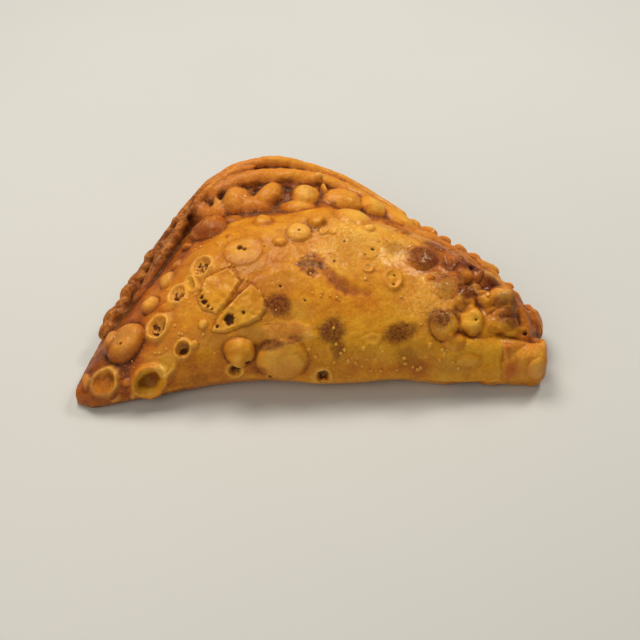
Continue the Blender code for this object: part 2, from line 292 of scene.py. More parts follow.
class Dough:
    """Closed shapes gathered as plain lists, to be joined into one skin."""

    def __init__(self):
        self.points = []
        self.faces = []
        self.count = 0

    def add(self, points, faces):
        self.points.append(points)
        self.faces += [[i + self.count for i in face] for face in faces]
        self.count += len(points)

    def add_rings(self, rings):
        """Closed rings of equal length, joined one to the next and capped at the ends."""
        around = len(rings[0])
        faces = []
        for k in range(len(rings) - 1):
            for i in range(around):
                j = (i + 1) % around
                a, b = k * around, (k + 1) * around
                faces.append((a + i, b + i, b + j, a + j))
        faces.append(list(range(around)))
        faces.append(list(range((len(rings) - 1) * around, len(rings) * around))[::-1])
        self.add(np.concatenate(rings), faces)

    def add_ball(self, middle, radii, turn=0, seed=0, uneven=0.05, square=1):
        """A slightly lumpy ellipsoid turned about Z. It nears a rounded box as square
        falls below 1."""
        rings = []
        around = np.linspace(0, 2 * math.pi, BALL_SIDES + 1)[:-1]
        for up in np.linspace(-1, 1, BALL_RINGS + 2)[1:-1] * math.pi / 2:
            x, y = np.cos(up) * np.cos(around), np.cos(up) * np.sin(around)
            rings.append(np.column_stack([x, y, np.full(BALL_SIDES, math.sin(up))]))
        round_ball = np.concatenate(rings)
        if square < 1:
            round_ball = np.sign(round_ball) * np.abs(round_ball) ** square
        swell = 1 + uneven * field(round_ball, 0.6, seed)
        basis = Matrix.Rotation(math.radians(turn), 3, "Z")
        shaped = round_ball * swell[:, None] * radii @ np.array(basis).T
        self.add_rings(np.split(shaped + np.array(middle), len(rings)))

    def add_roll(self, points, radii, uneven=0.05, seed=0):
        """A roll of dough along points, which thins to nothing at both ends."""
        reach = reach_along(np.array(points))
        where = np.arange(0, reach[-1], ROLL_STEP)
        line = through(points, where)
        size = eased(where, reach, radii)
        end = np.minimum(where, where[-1] - where) / size.mean()
        size = size * np.sqrt(np.clip(1 - (1 - np.clip(end, 0.08, 1)) ** 2, 0, 1))
        ahead = np.gradient(line, axis=0)
        ahead /= np.linalg.norm(ahead, axis=1)[:, None]
        side = np.cross(ahead, (0, 0, 1.0))
        side /= np.linalg.norm(side, axis=1)[:, None]
        up = np.cross(side, ahead)
        turns = np.linspace(0, 2 * math.pi, ROLL_SIDES + 1)[:-1]
        rings = []
        for k in range(len(where)):
            ring = np.outer(np.cos(turns), side[k]) + np.outer(np.sin(turns), up[k])
            swell = 1 + uneven * field(line[k] + size[k] * ring, ROLL_LUMPS, seed)
            rings.append(line[k] + size[k] * ring * swell[:, None])
        self.add_rings(rings)

    def as_object(self, name):
        mesh = bpy.data.meshes.new(name)
        mesh.from_pydata(np.concatenate(self.points) * MM, [], self.faces)
        return put(name, mesh)


def add_body(dough):
    """The filled body, ring by ring along the fold."""
    knots = sorted(SECTIONS)
    stations = np.arange(knots[0], knots[-1], STATION_STEP)
    dough.add_rings([ring_at(x, RING_POINTS)[0] for x in stations])


def add_rope(dough):
    """Overlapping lobes along the left flank's edge, each twisted across it."""
    flank = np.array(OUTER_EDGE[:ROPE_POINTS])
    reach = reach_along(flank)[-1]
    for i, at in enumerate(np.arange(1.5, reach, ROPE_PITCH)):
        here, ahead = through(flank, np.array([at, at + 1]))
        heading = math.degrees(math.atan2(*(ahead - here)[[1, 0]]))
        fade = 1 - 0.42 * at / reach
        swell = fade * (1 + 0.2 * math.sin(2.3 * i))
        dough.add_ball(
            here + ROPE_INSET,
            [swell * r for r in ROPE_LOBE],
            heading + ROPE_SLANT,
            seed=i,
            uneven=0.1,
        )


def add_pinches(dough):
    """Small pinches in a row along the right flank."""
    for i, x in enumerate(np.arange(*PINCH_SPAN, PINCH_PITCH)):
        rim_y, rim_z = section_at(x)[5:7]
        swell = 1 + 0.15 * math.sin(1.9 * i)
        middle = np.array([x, rim_y, rim_z]) + PINCH_INSET
        dough.add_ball(middle, [swell * r for r in PINCH_SIZE], PINCH_TURN, seed=i)


def joined_crust():
    """The body, its rolls, lobes and knuckles as one closed skin, cut flat at the table."""
    dough = Dough()
    add_body(dough)
    dough.add_roll(OUTER_EDGE, OUTER_EDGE_RADIUS, seed=1)
    dough.add_roll(LIP, LIP_RADIUS, seed=2, uneven=0.14)
    dough.add_roll(INNER_ROLL, INNER_ROLL_RADIUS, seed=3)
    dough.add_roll(END_ROLL, END_ROLL_RADIUS, seed=4, uneven=0.03)
    dough.add_roll(KNUCKLE_SHELF, KNUCKLE_SHELF_RADIUS, seed=5, uneven=0.1)
    middle, radii, square = END_CAP
    dough.add_ball(middle, radii, seed=6, uneven=0.04, square=square)
    add_rope(dough)
    add_pinches(dough)
    for i, (middle, radii, turn) in enumerate(KNUCKLES + END_LUMPS):
        dough.add_ball(middle, radii, turn, seed=20 + i, uneven=0.06)
    rough_crust = dough.as_object("rough_crust")
    remesh = rough_crust.modifiers.new("one_skin", "REMESH")
    remesh.mode = "VOXEL"
    remesh.voxel_size = CRUST_VOXEL * MM
    soften = rough_crust.modifiers.new("soften", "SMOOTH")
    soften.factor = 0.5
    soften.iterations = SOFTENING
    seen = rough_crust.evaluated_get(bpy.context.evaluated_depsgraph_get())
    bm = bmesh.new()
    bm.from_mesh(seen.to_mesh())
    bpy.data.objects.remove(rough_crust)
    keep_largest(bm)
    geometry = bm.verts[:] + bm.edges[:] + bm.faces[:]
    cut = bmesh.ops.bisect_plane(
        bm, geom=geometry, plane_co=(0, 0, 0), plane_no=(0, 0, -1), clear_outer=True
    )
    edges = [e for e in cut["geom_cut"] if isinstance(e, bmesh.types.BMEdge)]
    bmesh.ops.contextual_create(bm, geom=edges)
    mesh = bpy.data.meshes.new("crust")
    bm.to_mesh(mesh)
    bm.free()
    return mesh


def keep_largest(bm):
    """Deletes every body but the largest, such as a bubble shut inside."""
    bm.verts.ensure_lookup_table()
    unseen = set(bm.verts)
    groups = []
    while unseen:
        group = {unseen.pop()}
        edge = set(group)
        while edge:
            edge = {e.other_vert(v) for v in edge for e in v.link_edges} & unseen
            unseen -= edge
            group |= edge
        groups.append(group)
    groups.sort(key=len)
    loose = [v for group in groups[:-1] for v in group]
    bmesh.ops.delete(bm, geom=loose, context="VERTS")


# ---------------------------------------------------------------- blisters and browning

# Closed oil blisters: x, distance up the skin, two radii, turn, rise, and how they look.
BUBBLES = [
    (-65.3, 20.4, 8, 6.2, 78, 3.4, "tan"),
    (-70.6, 22, 4.4, 3.2, 80, 1.8, "tan"),
    (-57.8, 34, 4.2, 3, 75, 2.6, "pale"),
    (-53, 45, 4, 2.4, 75, 1.8, "pale"),
    (-51, 31, 3.6, 2.8, 0, 0.8, "gold"),
    (-64.6, 6.4, 2, 1.8, 0, 1.2, "gold"),
    (-78.6, 9, 1.8, 3.8, 0, 1.2, "tan"),
    (-38.5, 20.5, 1.8, 1.8, 0, 1.4, "pale"),
    (-41.5, 14.5, 1.8, 1.5, 0, 1.1, "pale"),
    (-47, 60, 2.2, 2, 0, 1.3, "gold"),
    (-50, 51.5, 2.6, 1.9, 60, 1, "gold"),
    (-39.4, 67.4, 6.6, 7.6, 22, 3.8, "amber"),
    (-32, 72, 5, 3.6, 15, 1.2, "brown"),
    (-6.2, 77.6, 7.8, 2.9, -4, 0, "honey"),
    (-26, 49, 7.2, 7.2, 0, 0.25, "disc"),
    (-19, 66.4, 3.9, 4.4, 10, 1.8, "gold"),
    (-31, 58, 1.5, 1.3, 0, 0.5, "honey"),
    (-34.5, 54.5, 1.2, 1.2, 0, 0.5, "ring"),
    (0, 62.5, 3.2, 3.6, 0, 2.4, "honey"),
    (-6.5, 57.5, 4.7, 4.4, 0, 1.5, "pale"),
    (-13, 52.5, 2.7, 2.4, 0, 1.2, "gold"),
    (2.2, 57, 1.6, 1.5, 0, 0.8, "ring"),
    (5.4, 57.2, 1.7, 1.7, 0, 0.8, "ring"),
    (13, 69, 7.4, 8, -10, 1.7, "clear"),
    (23.5, 72, 1.7, 1.6, 0, 1, "gold"),
    (18.5, 60, 2.1, 2.2, 0, 1, "pale"),
    (30.5, 61.5, 2.4, 2.2, 0, 1.2, "honey"),
    (18, 47.5, 3.4, 3.2, 0, 0.3, "disc"),
    (17.5, 40.5, 2.1, 2.1, 0, 0.7, "ring"),
    (26, 36.5, 3.4, 4.7, 0, 0.7, "ring"),
    (39, 37.5, 1.6, 1.4, 0, 0.9, "honey"),
    (-26, 10.8, 5.6, 5, -20, 3, "honey"),
    (-11.6, 7.4, 8.8, 7.8, 12, 1.9, "tan"),
    (36.6, 46.5, 5.2, 5.8, 0, 1.3, "brown"),
    (52.6, 41, 4.9, 4.9, 0, 2.8, "brown"),
    (45, 34, 5, 4.4, 20, 1.1, "clear"),
    (50.8, 29.6, 4, 5.2, 0, 1.8, "brown"),
    (43, 19.8, 5.6, 5, 100, 2.6, "brown"),
    (46.4, 14, 3.8, 3, 0, 1.2, "honey"),
    (53, 20.8, 5.4, 4.2, 90, 2.2, "gold"),
    (58.2, 30.2, 4.2, 3.8, 0, 1.9, "gold"),
    (65, 31.5, 6.4, 5, 90, 1.8, "tan"),
    (63.6, 21, 6.6, 4.2, 10, 1.6, "brown"),
    (61, 42, 4.8, 4.2, 0, 1.2, "tan"),
    (55, 33.5, 3.4, 3, 0, 0.9, "tan"),
    (51.5, 7.4, 4.8, 2.8, 0, 0.7, "clear"),
    (65.8, 9, 2.2, 4.2, 20, 0.5, "honey"),
    (75, 5.2, 3.4, 3.2, 0, 0.9, "pale"),
]

# Blisters on the back, where the photo shows nothing: how many, the span of x, their radii.
BACK_BUBBLES = 46
BACK_SPAN = (-62, 68)
BACK_RADII = (1.0, 5.5)
BACK_POINTS = (9, 11)  # the points of the outline that the back lies between

# Burst blisters: x, distance up the skin, two radii, turn, rise of the lip, depth, the way
# the lip leans (a bowl's inside is painted in shade on that side), and how they look. The last
# three lie round the back of the rim.
BURSTS = [
    (-54.3, 22.8, 5.6, 4.1, 82, 1.5, 1.2, -60, "net"),
    (-45.4, 13.6, 3.5, 3.4, 0, 1.3, 1, 60, "net"),
    (-57.2, 5, 6.4, 5.2, 0, 1.7, 2.6, 25, "bowl"),
    (-72.2, 7.6, 5.6, 5.4, 0, 1.9, 0.9, 40, "flap"),
    (-51.2, 9.6, 3.8, 4, 0, 0.7, 0.3, -80, "flap"),
    (-40, 44, 4.4, 4.8, 0, 1.4, 1, 0, "net"),
    (-48, 35, 3.8, 4.6, 0, 1, 0.6, 180, "net"),
    (-43.4, 37.6, 2.2, 4.4, 25, 1.5, 0.4, 0, "flap"),
    (-28, 3.8, 3.5, 3.4, 0, 1.2, 1.3, -60, "net"),
    (2.2, 1.8, 3.3, 3, 0, 1.2, 1.7, 90, "net"),
    (-16, 1.3, 1.6, 1.4, 0, 0.8, 0.7, 0, "net"),
    (-32.9, 95.5, 2.6, 1.1, 35, 0.5, 0.2, 0, "flap"),
    (-47.6, 86, 1.5, 1.5, 0, 0.7, 0.5, 0, "flap"),
    (-54.4, 79, 1.5, 1.4, 0, 0.7, 0.5, 0, "flap"),
]

# Loose flakes of skin: their outline in x and distance up the skin, and their thickness.
FLAKES = [
    ([(-29.4, 41.5), (-26.4, 35), (-30, 28), (-34, 23.8), (-39.2, 26.8), (-40.8, 31.5),
      (-38.1, 38.5)], 1),
    ([(-22.4, 34), (-18.4, 29.8), (-17.2, 25), (-19, 21.8), (-23, 20), (-30.8, 17.6),
      (-35.2, 18.2), (-33.8, 21.4), (-27.4, 28.8)], 1.3),
    ([(14.8, 16.6), (19, 17.8), (22.8, 15.8), (20, 13), (16.4, 13.2)], 0.25),
    ([(-14.2, 8.5), (-11, 9.6), (-6.6, 10.2), (-4.4, 6.6), (-4.9, 3), (-9.8, 0.6),
      (-15.2, 2.2)], 0.3),
    ([(-69.8, 0.6), (-66.8, 2.4), (-65.2, 1), (-67.4, -0.6)], 0.7),
    ([(-64, 1.2), (-62.6, 2.6), (-61.4, 1.2), (-62.8, 0)], 0.6),
]

# Pinholes and gaps in the skin, sunk and painted near-black as shade: x, distance up the skin,
# radius, depth.
HOLES = [
    (-23.4, 7.8, 0.9, 1), (-6.4, 57, 0.45, 0.5), (-26.9, 50.4, 1.1, 0.8),
    (-25.2, 49.4, 0.8, 0.7), (-12.5, 33.5, 0.5, 0.6), (-4, 28, 0.45, 0.5),
    (-66.6, 18.2, 0.5, 0.4), (-39.4, 31, 0.8, 0.9), (-38.4, 29, 1.1, 0.9),
    (-37, 27, 0.7, 0.9), (-35.4, 25.6, 0.5, 0.7), (-39.6, 33.4, 0.5, 0.7),
    (-29.6, 21.6, 1.9, 1.2), (-33.6, 19.6, 0.6, 0.7), (-24.6, 23.4, 0.6, 0.6),
    (54, 42, 1.2, 1), (53.8, 21, 0.45, 0.5), (58.8, 29.6, 0.4, 0.5),
    (71.8, 17, 0.8, 0.9), (19.2, 48.8, 0.7, 0.5), (16.6, 46.2, 0.5, 0.4),
    (26.2, 34.4, 0.5, 0.4), (26.6, 37.8, 0.45, 0.4), (9.6, 52.6, 0.5, 0.4),
    (21.5, 53, 0.5, 0.4), (24.5, 53.4, 0.4, 0.4), (6, 43.6, 0.55, 0.4),
    (-32, 96.2, 0.5, 0.5), (-33.8, 95.2, 0.45, 0.5),
]

# Toasted purple-brown spots: x, distance up the skin, two radii, turn, strength.
PLUMS = [
    (-12.6, 26.4, 4.8, 4.4, -30, 1), (4.6, 17.6, 5.2, 5.6, 0, 0.95),
    (6.6, 11.4, 2.8, 4.4, 0, 0.7), (28, 17.8, 6.6, 3.8, 15, 0.95),
    (30.5, 8, 4.2, 5, 0, 0.4), (36.8, 46, 5.6, 6, 0, 0.95),
    (27.5, 50, 5.6, 4, 0, 0.45), (-15.6, 13.4, 5.2, 2, 8, 0.85),
    (-8, 15.2, 3.4, 1.8, 20, 0.6), (-13.6, 21.8, 7.2, 2.8, 8, 0.25),
    (53.6, 43.4, 5.4, 4.8, 0, 1), (51.4, 31.8, 4.4, 4.4, 0, 1),
    (42.4, 21.6, 4, 4.4, 0, 1), (66, 22, 6, 3.4, 0, 0.95),
    (65, 28, 6, 3, 0, 0.9), (45, 34.6, 4.4, 3.4, 0, 0.7),
    (42, 54, 5, 3.8, -30, 0.8), (30.8, 62.5, 3.8, 2.2, 0, 0.7),
    (55, 50, 5.4, 4, 0, 0.7), (61, 38, 4.4, 3.4, 0, 0.85),
    (-54.5, 77, 3, 2.6, 0, 0.9), (-60, 66, 3.6, 2.8, 0, 0.7),
    (-48.5, 83.5, 3.2, 2.6, 0, 0.9), (-66, 52, 3, 3, 0, 0.6),
    (-20, 3.6, 3.8, 2.6, 0, 0.5), (-42, 1.6, 5, 2, 0, 0.4),
]

# Duller, greyer skin over a pocket of air: x, distance up the skin, two radii, strength.
DULL = [
    (-12, 34, 9, 5.5, 0.35), (-22, 16.5, 6, 4, 0.7), (-6, 25, 6, 4.5, 0.5),
    (37.5, 20, 4, 5, 0.4), (34, 12, 9, 6, 0.5), (-34, 14, 6, 4, 0.4),
    (16, 10, 9, 4, 0.4), (44, 5, 10, 4, 0.5), (12, 49, 10, 7, 0.3),
    (-46, 26, 5, 5, 0.3), (-24, 41, 6, 3, 0.4),
]

# Dabs among the rolls and knuckles: the point, the radius, the paint, strength. The plum and
# near-black dabs are painted shade in the gaps; the pale ones are painted light on tops.
DABS = [
    ((-11.1, 32.3, 35.0), 3.6, "plum_and_shade", 1.0), ((-10.7, 29.1, 34.2), 3.2, "plum_and_shade", 1.0),
    ((-12.1, 25.8, 33.2), 2.4, "plum_and_shade", 0.9), ((-15.1, 26.2, 33.6), 2.0, "plum_and_shade", 0.6),
    ((-17.3, 23.7, 32.7), 2.0, "plum_and_shade", 0.6), ((-20.2, 22.6, 32.1), 2.0, "plum_and_shade", 0.5),
    ((-22.3, 31.4, 34.2), 3.2, "plum_and_shade", 1.0), ((-28.5, 33.0, 34.0), 2.6, "plum_and_shade", 0.7),
    ((-35.0, 30.2, 32.2), 3.0, "plum_and_shade", 1.0), ((-47.1, 22.4, 27.7), 2.4, "plum_and_shade", 1.0),
    ((-46.0, 24.6, 29.3), 1.8, "plum_and_shade", 0.9), ((5.6, 23.8, 33.1), 1.6, "plum_and_shade", 0.7),
    ((-11.0, 31.4, 34.4), 2.0, "painted_shade", 0.8), ((-22.3, 30.8, 33.6), 1.7, "painted_shade", 0.8),
    ((-35.0, 30.0, 32.0), 1.7, "painted_shade", 0.7), ((-47.1, 22.4, 27.7), 1.4, "painted_shade", 0.8),
    ((0.4, 35.6, 38.0), 2.6, "pale", 0.6), ((-37.2, 27.0, 32.0), 2.0, "pale", 0.45),
    ((-4.6, 27.0, 37.0), 4.5, "pale", 0.25), ((-32.0, 27.0, 36.0), 5.0, "pale", 0.15),
]

# The scorched patch high in the middle as x, up and radii, and the outline of its tail.
SCORCH = (-2.2, 42.4, 4.8, 5.8)
SCORCH_TAIL = [(-1.6, 47), (1.6, 46.4), (4.2, 41.6), (8, 36.8), (12.6, 34), (19.6, 31.6),
               (18.6, 29.4), (12, 29.6), (6.6, 31.2), (3, 36), (0.2, 41)]

# Tiny blisters: how many, the spans of x and of distance up the skin, and their radii.
SPECKS = [
    (110, (-12, 52), (1.5, 13.5), (0.2, 0.85)),
    (60, (-68, -34), (4, 24), (0.2, 0.7)),
    (120, (-46, 60), (18, 68), (0.2, 0.6)),
    (40, (-44, -14), (38, 66), (0.25, 0.7)),
]

# The ribbed patch, as x, up and radii, and how far apart its ribs lie.
RIBBED = (-9.2, 17.2, 8.8, 4.4)
RIB_PITCH = 1.1
# How much painted shade the broad dips take, and how much painted light the ridges take.
HOLLOW_PAINTED_SHADE = 0.34
RIDGE_PAINTED_LIGHT = 0.16
CAP_START = 63.5
ROLL_CREASE = [(44, 18.5), (54, 15.8), (63, 15.8), (72, 15.2), (78, 13.5)]  # x, up the skin
SEAM_POINT = 6  # the point of the outline that is the seam
RIM_FADE = (0.9, 1.04)  # where the rim begins, as shares of the way up to the seam
FINE_HOLLOWS = 30  # rounds of smoothing that find the narrow creases
WIDE_HOLLOWS = 160  # and the broad dips
NEARBY = 1.7  # how far a spot's effect is looked for, in radii
OUTLINE_MARGIN = 3
RARITY = 2.5  # the higher, the fewer large blisters among the scattered ones
BACK_SEED = 11
SPECK_SEED = 7
BASE_FADE = (0.2, 1.2)  # heights between which the relief fades in above the flat base
SPECK_LIFT = 0.12
SPECK_FLATNESS = 0.6
SPECK_UNEVEN = 0.22
PLAIN_TOAST = 0.42
END_CRUMPLE = 1.1  # heights of the relief: the folds of the right end, then ever finer
BROAD_RELIEF = 0.34
MIDDLE_RELIEF = 0.2
FINE_RELIEF = 0.07
# The paints. The toast level is browning, with painted shade added in hollows and creases; the
# plum paint is toasted stains and also painted shade in gaps and dips; the near-black paint is
# painted shade in holes, creases and gaps; grain is pale grain, partly a painted sheen; pale is
# paler skin, and also painted highlights on edges, streaks and tops.
PAINTS = ("toast", "plum_and_shade", "pale", "amber", "grain", "blush", "ash", "painted_shade")


def place_on_skin(points):
    """How far up the skin each point lies, measured in the cross-section at its x."""
    low, high = min(SECTIONS), max(SECTIONS)
    slots = np.rint((np.clip(points[:, 0], low, high) - low) / STATION_STEP).astype(int)
    order = np.argsort(slots, kind="stable")
    across = np.zeros(len(points))
    for slot in np.unique(slots):
        rows = order[np.searchsorted(slots, slot, sorter=order):]
        rows = rows[: np.count_nonzero(slots == slot)]
        ring, where = ring_at(min(low + slot * STATION_STEP, high), RING_POINTS)
        step = np.roll(ring, -1, axis=0) - ring
        gap = points[rows, None, 1:] - ring[None, :, 1:]
        nearest = (gap**2).sum(2).argmin(1)
        along = (gap[np.arange(len(rows)), nearest] * step[nearest, 1:]).sum(1)
        length = np.linalg.norm(step[nearest, 1:], axis=1)
        across[rows] = where[nearest] + along / length
    return across


def falling(value, start, end):
    """1 where value is at start or before, 0 at end or past it, smooth between."""
    t = np.clip((value - start) / (end - start), 0, 1)
    return 1 - t * t * (3 - 2 * t)


def rising(value, start, end):
    """0 where value is at start or before, 1 at end or past it, smooth between."""
    return 1 - falling(value, start, end)


def ridge(value, middle, width):
    """1 where value is at middle, falling away on both sides over about this width."""
    return np.exp(-(((value - middle) / width) ** 2))


def uneven_edge(angle, wobble, seed, ragged=0.0):
    """The radius of a blister's outline that way, near 1, closing on itself."""
    place = np.column_stack([np.cos(angle), np.sin(angle), np.full(len(angle), seed)])
    edge = 1 + 1.8 * wobble * field(place, 1.5, 50)
    return edge + ragged * field(place, 0.3, 51) if ragged else edge


def inside(points, corners):
    """How far inside the outline each flat point lies, negative outside it."""
    corners = np.array(corners, float)
    ahead = np.roll(corners, -1, axis=0)
    away = np.full(len(points), np.inf)
    within = np.zeros(len(points), bool)
    for start, end in zip(corners, ahead):
        side = end - start
        share = np.clip((points - start) @ side / (side @ side), 0, 1)
        gap = np.linalg.norm(points - start - share[:, None] * side, axis=1)
        away = np.minimum(away, gap)
        level = (points[:, 1] - start[1]) / (side[1] if side[1] else 1e-9)
        crosses = (start[1] > points[:, 1]) != (end[1] > points[:, 1])
        within ^= crosses & (points[:, 0] < start[0] + level * side[0])
    return np.where(within, away, -away)


def near_outline(flat, corners):
    """The flat points in the outline's box and a little round it."""
    low = np.min(corners, axis=0) - OUTLINE_MARGIN
    high = np.max(corners, axis=0) + OUTLINE_MARGIN
    return np.flatnonzero(((flat > low) & (flat < high)).all(1))


class Skin:
    """Points on the crust: where they lie on it, their relief and their colouring."""

    def __init__(self, points, normals):
        self.points = points
        self.normals = normals
        self.across = place_on_skin(points)
        self.relief = np.zeros(len(points))
        self.paint = {name: np.zeros(len(points)) for name in PAINTS}

    def flat(self):
        """The points as if the skin were unrolled: x and how far up it."""
        return np.column_stack([self.points[:, 0], self.across])

    def near(self, x, across, long, wide, turn=0, wobble=0.06, ragged=0.0):
        """The points round a spot, their share of its radius, and their direction."""
        reach = NEARBY * max(long, wide)
        rows = np.flatnonzero(
            (abs(self.points[:, 0] - x) < reach) & (abs(self.across - across) < reach)
        )
        along = self.points[rows, 0] - x
        up = self.across[rows] - across
        c, s = math.cos(math.radians(turn)), math.sin(math.radians(turn))
        a, b = (c * along + s * up) / long, (c * up - s * along) / wide
        angle = np.arctan2(b, a)
        return rows, np.hypot(a, b) / uneven_edge(angle, wobble, x + across, ragged), angle

    def raise_by(self, rows, height):
        self.relief[rows] += height

    def tint(self, name, rows, amount):
        here = self.paint[name]
        here[rows] = np.maximum(here[rows], np.clip(amount, 0, 1))

    def fade(self, name, rows, amount):
        self.paint[name][rows] *= 1 - np.clip(amount, 0, 1)


def mostly_small(draw, small, large):
    """A size drawn between these two, seldom near the large one."""
    return small + (large - small) * draw.random() ** RARITY


def back_bubbles():
    """Blisters scattered over the back, fewer large than small."""
    draw = random.Random(BACK_SEED)
    start, end = BACK_POINTS
    small, large = BACK_RADII
    made = []
    for _ in range(BACK_BUBBLES):
        x = draw.uniform(*BACK_SPAN)
        reach = reach_along(np.array(outline(x)))
        across = draw.uniform(reach[start] + 2, reach[end] - 4)
        radius = mostly_small(draw, small, large)
        wide = radius * draw.uniform(0.7, 1.0)
        look = draw.choice(("gold", "tan", "honey", "clear", "brown"))
        rise = radius * draw.uniform(0.2, 0.5)
        made.append((x, across, radius, wide, draw.uniform(0, 180), rise, look))
    return made


def add_bubbles(skin):
    """Closed blisters: a lumpy dome with a toasted border and painted shade in the crease at its
    foot, coloured by its look. An amber one gets painted shade on one side and painted highlight
    streaks.
    """
    for x, across, long, wide, turn, rise, look in BUBBLES + back_bubbles():
        rows, r, angle = skin.near(x, across, long, wide, turn, wobble=0.1)
        here = skin.points[rows]
        lumps = 1 + 0.3 * field(here, 0.7 * long + 0.6, 40)
        power = 1.3 if look in ("gold", "clear", "disc") else 0.7
        dome = np.clip(1 - r**3, 0, 1) ** power * lumps
        if look == "disc":
            dome = falling(r, 0.9, 1.02) * (0.7 + 0.5 * lumps)
        within = falling(r, 0.86, 1.04)
        border = ridge(r, 0.88, 0.17) * (0.6 + 0.5 * field(here, 4.0, 44))
        crease = ridge(r, 1.07, 0.1) * (0.6 + 0.8 * field(here, 3.0, 42))
        if look == "ring":
            dome = ridge(r, 0.8, 0.2) + 0.35 * ridge(r, 0, 0.25)
            skin.tint("pale", rows, 0.3 * ridge(r, 0.6, 0.25))
        skin.raise_by(rows, rise * dome - 0.1 * crease * (rise > 0))
        # Painted shade in the crease round the blister's foot.
        skin.tint("painted_shade", rows, 0.07 * crease)
        paint = skin.paint["toast"]
        paint[rows] += (0.08 if look == "tan" else 0.15) * border
        if look == "pale":
            skin.tint("pale", rows, 0.55 * within * np.clip(1.1 - 0.7 * r, 0, 1))
        if look == "tan":
            skin.tint("pale", rows, 0.32 * falling(r, 0.3, 1.0))
            skin.tint("blush", rows, 0.4 * within)
        if look == "clear":
            skin.tint("pale", rows, 0.26 * falling(r, 0.2, 0.9) * (0.8 + 0.6 * field(here, 2, 45)))
        if look in ("gold", "disc"):
            skin.tint("pale", rows, 0.16 * falling(r, 0.2, 0.9))
            skin.fade("grain", rows, 0.8 * within)
        if look in ("amber", "honey"):
            skin.tint("amber", rows, within * (1.0 if look == "amber" else 0.38))
            skin.fade("grain", rows, within)
            skin.fade("blush", rows, within)
            paint[rows] += 0.3 * within * field(here, 2.4, 43)
            if look == "amber":
                # Painted shade on one side of the amber blister, and painted highlight streaks on
                # it.
                shade = 0.5 - 0.5 * np.cos(angle - 0.6)
                skin.tint("plum_and_shade", rows, within * (0.25 + 0.65 * r * shade))
                highlight_streaks = np.clip(4 * field(here * (1.6, 0.6, 0.6), 1.5, 48), 0, 1)
                skin.tint("pale", rows, 0.4 * falling(r, 0.2, 0.8) * highlight_streaks)
        if look == "brown":
            top = falling(r, 0.3, 1.0) * (0.7 + 0.6 * field(here, 2.2, 41))
            skin.tint("plum_and_shade", rows, 0.62 * top)
            paint[rows] += 0.1 * within


def add_bursts(skin):
    """Blisters whose skins have burst: a lip round a hollow, or round a torn skin. Painted shade
    fills the torn holes and one side of a bowl's inside.
    """
    for x, across, long, wide, turn, rise, pit, lean, look in BURSTS:
        rows, r, angle = skin.near(x, across, long, wide, turn, wobble=0.09, ragged=0.05)
        here = skin.points[rows]
        facing = 0.5 + 0.5 * np.cos(angle - math.radians(lean - turn))
        waver = 1 + 0.5 * field(here, 1.8, 61)
        hollow = falling(r, 0.3, 0.86)
        paint = skin.paint["toast"]
        if look == "bowl":
            lip = ridge(r, 0.88, 0.2) * (0.85 + 0.3 * waver)
            skin.raise_by(rows, rise * lip - pit * np.clip(1 - (r / 0.9) ** 2, 0, 1) ** 1.5)
            skin.tint("blush", rows, 0.6 * lip)
            # Inside the bowl: paler, with painted shade on the side towards the way the lip leans.
            paint[rows] += falling(r, 0.75, 0.95) * (0.3 * facing - 0.55)
            skin.tint("painted_shade", rows, 0.18 * hollow * facing)
            continue
        steep = np.where(r < 0.78, 0.09, 0.2)
        lip = ridge(r, 0.78, steep) * waver
        tall = 0.5 + 0.5 * facing if look == "net" else 0.12 + 0.88 * facing**1.5
        skin.raise_by(rows, rise * lip * tall - pit * hollow)
        skin.tint("pale", rows, np.clip(0.9 * lip * (0.3 + 0.7 * tall), 0, 0.85))
        paint[rows] -= (0.34 if look == "flap" else 0.1) * falling(r, 0.5, 0.85)
        if look == "net":
            torn = field(here, 1.5, 63) + 0.5 * field(here, 0.7, 64)
            torn += 0.35 * np.cos(angle - math.radians(-50 - turn)) * r
            open_skin = falling(r, 0.45, 0.7) * np.clip((torn - 0.08) / 0.16, 0, 1)
            skin.tint("pale", rows, 0.42 * falling(r, 0.5, 0.75))
            strands = falling(r, 0.5, 0.9) * ridge(torn, -0.02, 0.12)
            skin.raise_by(rows, -0.7 * open_skin + 0.2 * strands)
            skin.tint("pale", rows, 0.7 * strands)
            skin.fade("pale", rows, open_skin)
            # Painted shade in the holes where the skin is torn open.
            skin.tint("painted_shade", rows, 0.9 * open_skin)


def add_flakes(skin):
    """Loose flakes of skin lying on the crust, each with a lifted, broken edge painted pale,
    partly as a painted highlight, and a painted shadow line round it.
    """
    flat = skin.flat()
    for corners, rise in FLAKES:
        rows = near_outline(flat, corners)
        here = skin.points[rows]
        d = inside(flat[rows], corners) + 0.5 * field(here, 1.7, 71) + 0.2 * field(here, 0.8, 72)
        top = rising(d, -0.1, 0.8)
        crumple = 0.4 * field(here, 3.2, 73) + 0.22 * field(here, 1.3, 74)
        edge = ridge(d, 0.6, 0.55) * min(1, 0.25 + rise)
        broken = np.clip(0.55 + 1.6 * field(here, 4.5, 75), 0.1, 1)
        lying = np.clip(0.7 + field(here, 8, 76), 0.35, 1)
        skin.raise_by(rows, rise * top * lying * (0.75 + crumple) + 0.35 * edge * broken)
        skin.raise_by(rows, -0.3 * min(1, rise) * ridge(d, -0.5, 0.35))
        # The lifted broken edge is painted pale, partly as a painted highlight.
        skin.tint("pale", rows, 0.7 * edge * broken)
        skin.tint("pale", rows, top * np.clip(0.1 + 0.8 * crumple, 0, 0.5))
        # A painted shadow line just outside the flake.
        skin.tint("painted_shade", rows, 0.3 * min(1, rise) * ridge(d, -0.45, 0.35))
        skin.fade("grain", rows, 0.8 * top)


